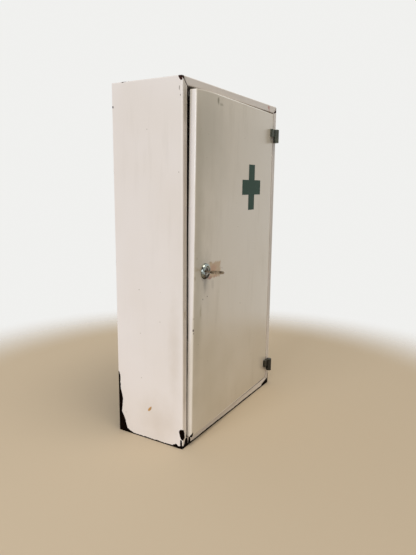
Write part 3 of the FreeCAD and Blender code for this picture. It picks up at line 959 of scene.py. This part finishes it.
@dataclass
class CrossFilm:
    """The green cross, a thin film that follows the sprung sheet under it."""

    stance: SprungDoor
    centre_x: float = 56.5 * MM
    centre_z: float = 437.0 * MM
    face: float = FRONT * MM
    span: float = 85.0 * MM
    arm: float = 27.5 * MM
    lift: float = 0.10 * MM
    film: float = 0.12 * MM
    cuts: int = 3

    def build(self, material: bpy.types.Material) -> None:
        """Grow a square into a cross, spring it and give it its film thickness.

        Args:
            material: The film's material.
        """
        bm = bmesh.new()
        stand = Matrix.Rotation(math.radians(90), 4, "X")
        bmesh.ops.create_grid(bm, x_segments=1, y_segments=1, size=self.arm / 2, matrix=stand)
        for edge in bm.edges[:]:
            outward = (edge.verts[0].co + edge.verts[1].co).normalized()
            grown = bmesh.ops.extrude_edge_only(bm, edges=[edge])["geom"]
            moved = [v for v in grown if isinstance(v, bmesh.types.BMVert)]
            bmesh.ops.translate(bm, vec=outward * (self.span - self.arm) / 2, verts=moved)
        bmesh.ops.subdivide_edges(bm, edges=bm.edges, cuts=self.cuts, use_grid_fill=True)
        bmesh.ops.translate(bm, vec=(self.centre_x, self.face - self.lift, self.centre_z), verts=bm.verts)
        bmesh.ops.recalc_face_normals(bm, faces=bm.faces)
        if bm.faces[:][0].normal.y > 0:
            bmesh.ops.reverse_faces(bm, faces=bm.faces)
        self.stance.spring(bm)
        piece = place_piece("green_cross_film", bm, Body.DOOR, material, ("green_cross",))
        skin = piece.modifiers.new("film", "SOLIDIFY")
        skin.thickness = self.film
        skin.offset = 1.0


@dataclass
class Studio:
    """Pale floor, soft light from the left and above, and the camera at the photograph's viewpoint."""

    camera_at: Point = (-0.8224, -0.5001, 0.4389)
    yaw: float = math.radians(-59.31)
    pitch: float = math.radians(10.401)
    roll: float = math.radians(0.557)
    focal_pixels: float = 498.82
    image_height: float = 555.0
    sensor_mm: float = 36.0
    floor_plain: float = 0.52
    floor_reach: float = 0.86
    floor_sides: int = 96
    room_glow: float = 0.95
    room_fill: float = 0.385
    ceiling_strength: float = 1.62
    ceiling_spread: float = math.radians(35)
    ceiling_way: Point = (0.10, 0.30, -1.0)
    window_at: Point = (-2.6, 0.12, 1.0)
    window_aim: Point = (0.0, 0.0, 0.3)
    window_side: float = 1.2
    window_watts: float = 36.5

    def camera(self) -> None:
        """Stand the camera where the photograph was taken."""
        data = bpy.data.cameras.new("photo_camera")
        data.sensor_width = self.sensor_mm
        data.lens = self.focal_pixels * data.sensor_width / self.image_height
        camera = new_object("photo_camera", data)
        ahead = Vector((-math.sin(self.yaw) * math.cos(self.pitch),
                        math.cos(self.yaw) * math.cos(self.pitch), -math.sin(self.pitch)))
        right = Vector((math.cos(self.yaw), math.sin(self.yaw), 0.0))
        up = right.cross(ahead)
        tilted_right = math.cos(self.roll) * right + math.sin(self.roll) * up
        tilted_up = -math.sin(self.roll) * right + math.cos(self.roll) * up
        turn = Matrix((tilted_right, tilted_up, -ahead)).transposed()
        camera.matrix_world = Matrix.Translation(Vector(self.camera_at)) @ turn.to_4x4()
        bpy.context.scene.camera = camera

    def floor(self) -> None:
        """Lay a round pale floor that fades into the room evenly all round."""
        bm = bmesh.new()
        bmesh.ops.create_circle(bm, cap_ends=True, radius=self.floor_reach, segments=self.floor_sides)
        mesh = bpy.data.meshes.new("studio_floor")
        bm.to_mesh(mesh)
        bm.free()
        made = bpy.data.materials.new("pale matt studio floor")
        tree = cleared_tree(made)
        place = add(tree, "TexCoord", output="Object")
        near = add(tree, "BsdfPrincipled", {"Base Color": linear("BCAE98"), "Roughness": 0.8})
        clear = add(tree, "BsdfTransparent")
        away = add(tree, "VectorMath", {0: place}, output="Value", operation="LENGTH")
        fade = add(tree, "MapRange", {"Value": away, "From Min": self.floor_plain,
                                      "From Max": self.floor_reach}, interpolation_type="SMOOTHSTEP")
        both = add(tree, "MixShader", {0: fade, 1: near, 2: clear})
        add(tree, "OutputMaterial", {"Surface": both})
        mesh.materials.append(made)
        new_object("studio_floor", mesh)

    def hang(self, light: bpy.types.Light, tint: str, at: Vector, way: Vector) -> None:
        """Hang a light in the room.

        Args:
            light: The light.
            tint: Its colour as hex.
            at: Where it hangs.
            way: The way that it shines.
        """
        light.color = linear(tint)[:3]
        lamp = new_object(light.name, light)
        lamp.location = at
        lamp.rotation_mode = "QUATERNION"
        lamp.rotation_quaternion = way.to_track_quat("-Z", "Y")

    def ceiling(self) -> None:
        """Hang a broad soft light overhead, a little in front of the cabinet."""
        light = bpy.data.lights.new("ceiling", "SUN")
        light.energy = self.ceiling_strength
        light.angle = self.ceiling_spread
        self.hang(light, "FFF1DC", Vector(), Vector(self.ceiling_way))

    def window(self) -> None:
        """Hang a broad soft light to the left, like a window's."""
        light = bpy.data.lights.new("window_left", "AREA")
        light.size = self.window_side
        light.energy = self.window_watts
        at = Vector(self.window_at)
        self.hang(light, "F6F8FF", at, Vector(self.window_aim) - at)

    def sky(self) -> None:
        """Fill the room with pale light that is dimmer for matt surfaces than for gloss."""
        world = bpy.data.worlds.new("pale_room")
        tree = cleared_tree(world)
        matt = add(tree, "LightPath", output="Is Diffuse Ray")
        strength = add(tree, "MapRange", {"Value": matt, "To Min": self.room_glow, "To Max": self.room_fill})
        light = add(tree, "Background", {"Color": linear("F6F6F4"), "Strength": strength})
        add(tree, "OutputWorld", {"Surface": light})
        bpy.context.scene.world = world

    def build(self) -> None:
        """Set up the camera, the floor and all lights."""
        self.camera()
        self.floor()
        self.sky()
        self.ceiling()
        self.window()
        bpy.context.scene.view_settings.view_transform = "Standard"


STANCE = SprungDoor()

# Down the back edge of the left side the paint is gone in a band that widens towards the floor.
LEFT_BACK_SHARES = ((0.0, 1.0), (0.035, 1.0), (0.065, 0.92), (0.124, 0.79), (0.195, 0.71), (0.265, 0.53),
                    (0.327, 0.34), (0.40, 0.37), (0.45, 0.42), (0.55, 0.48), (0.645, 0.36), (0.735, 0.25),
                    (0.82, 0.225), (0.92, 0.255), (0.98, 0.14), (1.0, 0.0))
# Along the foot of the left side the band falls away from the back corner.
LEFT_FOOT_SHARES = ((0.0, 1.0), (0.50, 0.85), (0.55, 0.74), (0.74, 0.44), (1.0, 0.12))
# Along the foot of the front the band is narrow all the way; it is worn paint and also painted contact shadow
# under the sill.
FRONT_FOOT_SHARES = ((0.0, 1.0), (0.12, 0.80), (0.30, 0.95), (0.50, 0.78), (0.72, 0.95), (1.0, 0.85))

CARCASS_CHIPS = (
    FrayedEdge(Axis.Z, 0.0, 113.0, ((Axis.X, LEFT), (Axis.Y, BACK)), 21.0, LEFT_BACK_SHARES),
    FrayedEdge(Axis.Y, BACK, 34.0, ((Axis.X, LEFT), (Axis.Z, 0.0)), 10.0, LEFT_FOOT_SHARES),
    FrayedEdge(Axis.X, LEFT, RIGHT, ((Axis.Y, FRONT), (Axis.Z, 0.0)), 4.2, FRONT_FOOT_SHARES),
    Scrape((LEFT, -67.3, 30.3), (-172.9, -69.2, 20.6), 5.2, 4.8),
    Scrape((LEFT, -66.2, 15.0), (LEFT, -66.2, 4.0), 1.9, 2.2),
    Scrape((LEFT, FRONT, 0.5), (LEFT, -57.0, 0.0), 5.4, 3.6),
    Scrape((LEFT, -56.0, 3.0), (LEFT, -51.0, 2.0), 3.8, 2.4),
    Scrape((LEFT, FRONT, 0.0), (-156.0, FRONT, 0.0), 5.6, 5.0),
    Scrape((-166.9, FRONT, 3.0), (-165.4, FRONT, 13.4), 4.4, 2.6),
    Scrape((-161.5, FRONT, 7.0), (-162.2, FRONT, 21.0), 2.9, 2.0),
    Scrape((-155.0, FRONT, 0.0), (-153.6, FRONT, 11.5), 4.6, 3.2),
    Scrape((145.0, FRONT, 2.5), (166.5, FRONT, 4.2), 4.8, 7.4),
    Scrape((172.0, FRONT, 4.0), (174.0, FRONT, 27.0), 4.0, 0.8),
    Scrape((LEFT, -64.0, 599.5), (LEFT, -66.7, 594.4), 2.6, 2.1),
    Scrape((LEFT, -68.0, TOP), (-171.3, FRONT, 595.6), 2.6, 1.9),
    Scrape((174.8, FRONT, 597.0), (171.8, FRONT, 590.4), 1.0, 2.2),
    Scrape((171.8, FRONT, 590.4), (163.5, FRONT, 587.4), 2.2, 0.9),
    Chip((LEFT, 45.0, 600.2), (2.0, 2.0, 1.3)),
    Chip((LEFT, 67.0, 563.0), (2.0, 1.8, 2.2)),
)
CARCASS_STAINS_AND_PAINTED_LIGHT = (
    StainAndPaintedLight((LEFT, -0.8, 56.6), (3.0, 2.5, 6.6), "C08A34", 1.0, 0.25, 3.0, turn=(36.0, 0.0, 0.0)),
    StainAndPaintedLight((LEFT, -2.9, 57.8), (3.0, 1.1, 5.4), "8A6E52", 0.8, 0.6, 3.0, turn=(36.0, 0.0, 0.0)),
    StainAndPaintedLight((136.0, FRONT, 594.5), (7.5, 3.0, 5.0), "B85848", 0.75, 0.8, 4.0),
    StainAndPaintedLight((138.5, FRONT, 589.8), (5.5, 3.0, 4.0), "BE8070", 0.55, 0.9, 4.0),
    StainAndPaintedLight((-166.7, FRONT, 591.0), (1.3, 3.0, 9.5), "33271F", 0.95, 0.4, 4.0, turn=(0.0, -46.0, 0.0)),
    StainAndPaintedLight((LEFT, -63.2, 582.6), (3.0, 1.0, 4.2), "6E6256", 0.85, 0.6, 2.0),
    StainAndPaintedLight((LEFT, -65.1, 571.8), (3.0, 0.9, 2.0), "6E6256", 0.8, 0.6, 2.0),
    # Painted shade down the left stile, where the proud door shades it, with some grime.
    StainAndPaintedLight((-168.0, FRONT, 300.0), (6.5, 2.0, 330.0), "9E9078", 0.48, 0.5, 40.0),
    StainAndPaintedLight((-168.0, FRONT, 235.0), (3.0, 2.0, 11.0), "8C7A44", 0.6, 0.9, 5.0),
    # More painted shade and grime high on the left stile.
    StainAndPaintedLight((-168.0, FRONT, 560.0), (6.5, 2.0, 60.0), "8E8468", 0.40, 0.8, 18.0),
    # Painted highlight on the stile's inner edge beside the gap.
    StainAndPaintedLight((-162.4, FRONT, 300.0), (0.9, 2.0, 290.0), "FBF7F2", 0.5, 0.3, 60.0),
    StainAndPaintedLight((-125.5, FRONT, 11.6), (4.0, 2.0, 1.8), "6E5C3C", 0.7, 0.8, 3.0),
    # Painted shade along the top of the sill, in the gap under the door.
    StainAndPaintedLight((0.0, FRONT, 15.4), (178.0, 2.5, 1.6), "2E2219", 0.90, 0.3, 25.0),
    StainAndPaintedLight((168.0, FRONT, 300.0), (6.5, 2.0, 330.0), "8E8674", 0.45, 0.6, 40.0),
    # Painted shade along the rail's lower edge, in the gap above the door, with some grime.
    StainAndPaintedLight((0.0, FRONT, 587.2), (170.0, 2.0, 0.9), "6A5C4C", 0.5, 0.5, 20.0),
    # Painted warm bounce from the floor: the side is warmer and a little darker low down.
    StainAndPaintedLight((LEFT, -20.0, 40.0), (4.0, 60.0, 60.0), "BFAE96", 0.28, 1.0, 26.0),
    StainAndPaintedLight((LEFT, -52.0, 170.0), (4.0, 16.0, 130.0), "C2B4A0", 0.25, 1.0, 22.0),
)
DOOR_CHIPS = (
    Scrape((-160.0, -68.0, 18.2), (-156.6, FRONT, 22.8), 2.8, 2.2),
)
# First broad darker places over the left half, the dirt of hands round the lock and painted
# shade under the rose; then painted light on the left strip, painted shade deep in the gap and
# painted highlights along the top and bottom folds; then the tape's glue, then the smudge at
# the top and the small spots.
DOOR_STAINS_AND_PAINTED_LIGHT = (
    StainAndPaintedLight((-140.0, FRONT, 520.0), (120.0, 3.0, 170.0), "7E785E", 0.30, 1.0, 90.0),
    StainAndPaintedLight((-150.0, FRONT, 300.0), (28.0, 3.0, 330.0), "8C8262", 0.36, 1.0, 50.0),
    StainAndPaintedLight((-110.0, FRONT, 90.0), (150.0, 3.0, 150.0), "9C8C5C", 0.20, 1.0, 60.0),
    StainAndPaintedLight((-124.0, FRONT, 296.0), (36.0, 3.0, 52.0), "857B64", 0.30, 1.0, 12.0),
    # Painted shade under the lock's rose.
    StainAndPaintedLight((-123.5, FRONT, 279.0), (8.0, 3.0, 22.0), "665C4A", 0.32, 1.0, 5.0),
    StainAndPaintedLight((-96.0, FRONT, 272.0), (8.0, 3.0, 14.0), "6E6450", 0.22, 1.0, 4.0),
    # Painted light on the door's left strip, where the stile shades it.
    StainAndPaintedLight((-160.0, -63.5, 400.0), (1.3, 6.5, 280.0), "F6F1F0", 0.60, 0.35, 60.0),
    # Painted shade deep in the gap, on the strip's rear part low down.
    StainAndPaintedLight((-160.0, -57.2, 150.0), (2.0, 2.6, 210.0), "2A1E16", 0.9, 0.5, 30.0),
    # Painted highlights along the door's top and bottom folds.
    StainAndPaintedLight((0.0, FRONT, 584.2), (156.0, 3.0, 1.7), "FFFDF8", 0.8, 0.5, 60.0),
    StainAndPaintedLight((0.0, FRONT, 18.6), (158.0, 3.0, 1.6), "FFFDF8", 0.8, 0.5, 60.0),
    StainAndPaintedLight((-91.0, FRONT, 297.8), (25.0, 3.0, 15.0), "B6925E", 0.72, 0.26, 8.0, square=True,
          turn=(0.0, 4.0, 0.0)),
    StainAndPaintedLight((-95.0, FRONT, 300.5), (17.0, 3.0, 9.5), "B88260", 0.55, 0.7, 5.0),
    StainAndPaintedLight((-106.5, FRONT, 286.0), (8.5, 3.0, 4.2), "9C5C44", 0.80, 0.7, 4.0),
    StainAndPaintedLight((-88.0, FRONT, 286.5), (10.0, 3.0, 3.0), "B8876C", 0.55, 0.8, 4.0),
    StainAndPaintedLight((-89.0, FRONT, 574.5), (5.0, 3.0, 8.0), "67623F", 0.80, 0.8, 4.0),
    StainAndPaintedLight((-78.0, FRONT, 570.0), (10.0, 3.0, 3.2), "7A7458", 0.50, 0.9, 4.0),
    StainAndPaintedLight((-130.0, FRONT, 253.0), (1.8, 3.0, 2.0), "5C5040", 0.85, 0.7, 2.0),
    StainAndPaintedLight((-114.8, FRONT, 255.0), (2.0, 3.0, 1.8), "6E604C", 0.80, 0.7, 2.0),
    StainAndPaintedLight((-151.5, FRONT, 324.0), (1.6, 3.0, 3.4), "8A8060", 0.60, 0.8, 2.0),
    StainAndPaintedLight((-157.0, FRONT, 292.0), (2.4, 3.0, 6.0), "8A7440", 0.60, 0.9, 3.0),
    StainAndPaintedLight((-137.0, FRONT, 232.0), (5.0, 3.0, 18.0), "96875C", 0.45, 1.0, 5.0),
    StainAndPaintedLight((-107.3, FRONT, 312.5), (2.6, 3.0, 1.8), "7C705C", 0.70, 0.8, 2.0),
    StainAndPaintedLight((-159.2, FRONT, 206.5), (2.0, 2.5, 2.8), "38281A", 0.95, 0.5, 2.0),
    StainAndPaintedLight((-158.4, FRONT, 201.0), (1.6, 2.5, 1.8), "4A3A28", 0.80, 0.7, 2.0),
    StainAndPaintedLight((-158.8, FRONT, 225.5), (1.5, 2.0, 3.0), "8A7A52", 0.60, 0.9, 2.0),
    StainAndPaintedLight((-62.0, FRONT, 297.0), (1.4, 3.0, 1.8), "6E604C", 0.8, 0.7, 2.0),
    StainAndPaintedLight((18.0, FRONT, 217.0), (1.6, 3.0, 1.8), "8A7A64", 0.7, 0.7, 2.0),
    StainAndPaintedLight((158.5, FRONT, 21.0), (1.8, 4.0, 6.0), "30241C", 0.9, 0.5, 3.0),
)


@dataclass
class Carcass:
    """The steel box: folded walls, the sheet let into its back and the fittings welded inside.

    Sizes are in millimetres, and low and high are the corners of the walls.
    """

    low: Point = (LEFT, FRONT, 0.0)
    high: Point = (RIGHT, BACK, TOP)
    # The line of lost paint round the foot also paints the contact shadow there.
    base_line: float = 2.2
    walls: tuple[str, ...] = ("left_side_panel", "right_side_panel", "top_panel", "bottom_panel")
    welded: tuple[str, ...] = ("strike_plate", "lower_stop_tab", "upper_stop_tab")

    def dress(self) -> None:
        """Paint the walls and what is welded to them, and the thinner coat on the back sheet."""
        dress(self.walls + self.welded,
              Enamel("aged cream enamel on carcass steel", box=(self.low, self.high),
                     base_line_mm=self.base_line, chips=CARCASS_CHIPS, stains_and_painted_light=CARCASS_STAINS_AND_PAINTED_LIGHT))
        dress(("back_panel",), Enamel("thin cream enamel on back sheet", pale="DCD3C8", warm="D2C6B6",
                                      grime_amount=0.6))


@dataclass
class Shelving:
    """The two lift-out shelves on their rails."""

    levels: tuple[str, ...] = ("lower", "upper")

    def dress(self) -> None:
        """Paint every shelf and its rails."""
        names = tuple(level + part for level in self.levels for part in ("_shelf", "_shelf_rails"))
        dress(names, Enamel("cream enamel on shelf steel", pale="E0D8CC", warm="D8CCBC", grime_amount=0.5))


@dataclass
class Door:
    """The pressed leaf with its green cross and the stiffener spot-welded inside."""

    leaf: DoorLeaf
    cross: CrossFilm

    def paint(self) -> Enamel:
        """Mix the leaf's enamel, with its marks placed on the closed, flat door.

        Returns:
            The leaf's finish.
        """
        stance = self.leaf.stance
        low = (stance.free_edge_x / MM, self.leaf.face / MM, stance.bottom / MM)
        high = (self.leaf.right / MM, (self.leaf.face + self.leaf.depth) / MM, stance.top / MM)
        return Enamel("aged cream enamel on door steel", pale="E1D9CC", warm="DAD0BF", box=(low, high),
                      grime_amount=0.30, edge_wear_mm=1.0, fold_shine=0.12, gloss_roughness=0.20,
                      chips=DOOR_CHIPS, stains_and_painted_light=DOOR_STAINS_AND_PAINTED_LIGHT, door=stance)

    def build(self) -> None:
        """Make the leaf and the cross, and paint the stiffener."""
        self.leaf.build(self.paint().material())
        self.cross.build(DullSkin("dull green printed film", roughness=0.62, specular=0.2,
                                  scuff_amount=0.22, door=self.cross.stance).material())
        dress(("door_stiffener",), Enamel("cream enamel inside door", pale="DDD3C6", warm="D5C9B8"))


@dataclass
class LiftOffHinge:
    """A barrel hinge in two halves on one pin, named for its level."""

    level: str
    paint: HingePaint

    def dress(self) -> None:
        """Paint both halves and leave the pin bright."""
        dress((self.level + "_hinge_frame_half", self.level + "_hinge_door_half"), self.paint)
        dress((self.level + "_hinge_pin",),
              WornMetal("turned bright steel pin", clean="A8A6A2", roughness=0.34))


@dataclass
class CamLock:
    """The cam lock: a domed chrome rose, a nickel barrel, the zinc-plated cam behind it and the key.

    The centre is the middle of the rose on the ajar door, in millimetres.
    """

    centre: Point = (-124.0, -82.5, 300.0)
    rose_radius: float = 13.3
    painted_reflection_depth: float = 9.0

    def tarnish(self) -> tuple[StainAndPaintedLight, ...]:
        """Place painted reflections and shade on the rose, with some brown tarnish, as shares of its radius
        across and up.

        Returns:
            The patches of painted reflection, shade and tarnish.
        """
        # Each row gives across, up, width and height as shares of the radius, then colour and strength: a
        # brown painted reflection with some tarnish over the lower half, black reflection below it and at the
        # lower right, painted shade just above the keyway, and darker painted reflections at the upper left
        # and the right.
        patches = ((-0.05, -0.55, 0.95, 0.50, "54402E", 0.85), (-0.15, -0.95, 1.00, 0.46, "120D06", 1.0),
                   (0.45, -0.75, 0.50, 0.50, "241A12", 0.90), (0.00, 0.26, 0.26, 0.20, "14100C", 0.90),
                   (-0.95, 0.60, 0.22, 0.50, "2C2A24", 0.80), (0.80, 0.20, 0.30, 0.40, "3A3E3A", 0.70))
        x, y, z = self.centre
        size = self.rose_radius
        return tuple(StainAndPaintedLight((x + across * size, y, z + up * size),
                           (wide * size, self.painted_reflection_depth, high * size), colour, strength,
                           softness=0.5, breakup_mm=4.0)
                     for across, up, wide, high, colour, strength in patches)

    def dress(self) -> None:
        """Plate the rose, the barrel, the cam and the key, each with its own wear."""
        marks = self.tarnish()
        # The rose takes the painted reflections and shade; the barrel and plug take only the painted shade
        # above the keyway.
        keyway_shade = marks[3:4]
        dress(("lock_rosette",),
              WornMetal("worn chrome plate on pressed steel", clean="A0A8A4", tarnish="3E423C",
                        roughness=0.12, dull=0.34, pit_mm=0.002, tarnish_from=0.48, tarnish_to=0.74,
                        spot_mm=4.0, stains_and_painted_light=marks))
        dress(("lock_housing", "lock_plug", "lock_nut"),
              WornMetal("dull nickel plate on turned brass", clean="8C877C", tarnish="3A3026",
                        roughness=0.26, stains_and_painted_light=keyway_shade))
        dress(("lock_cam", "cam_washer", "cam_screw"),
              WornMetal("zinc plate on pressed steel", clean="AEB0AC", roughness=0.36))
        dress(("key",), WornMetal("dark worn pressed steel key", clean="8A7A66", tarnish="4A3A2C",
                                  roughness=0.38, dull=0.62, pit_mm=0.03))


@dataclass
class DoorStops:
    """The two rubber buttons that the shut door comes to rest on."""

    roughness: float = 0.7

    def dress(self) -> None:
        """Give the buttons their rubber."""
        dress(("stop_bumpers",), DullSkin("grey-black moulded rubber", colour="2A2826", scuff="55504A",
                                          roughness=self.roughness))


def main() -> None:
    """Build the studio, then dress or build each part of the cabinet in turn."""
    logging.basicConfig(level=logging.INFO, format="%(message)s")
    Studio().build()
    Carcass().dress()
    Shelving().dress()
    Door(DoorLeaf(STANCE), CrossFilm(STANCE)).build()
    dull = HingePaint("dull green-black brushed hinge paint", coat="3A3F33", rubbed="6C7262")
    stained = HingePaint("stained green-black brushed hinge paint", coat="1A180F", rubbed="46452F")
    LiftOffHinge("upper", dull).dress()
    LiftOffHinge("lower", stained).dress()
    CamLock().dress()
    DoorStops().dress()


if __name__ == "__main__":
    main()
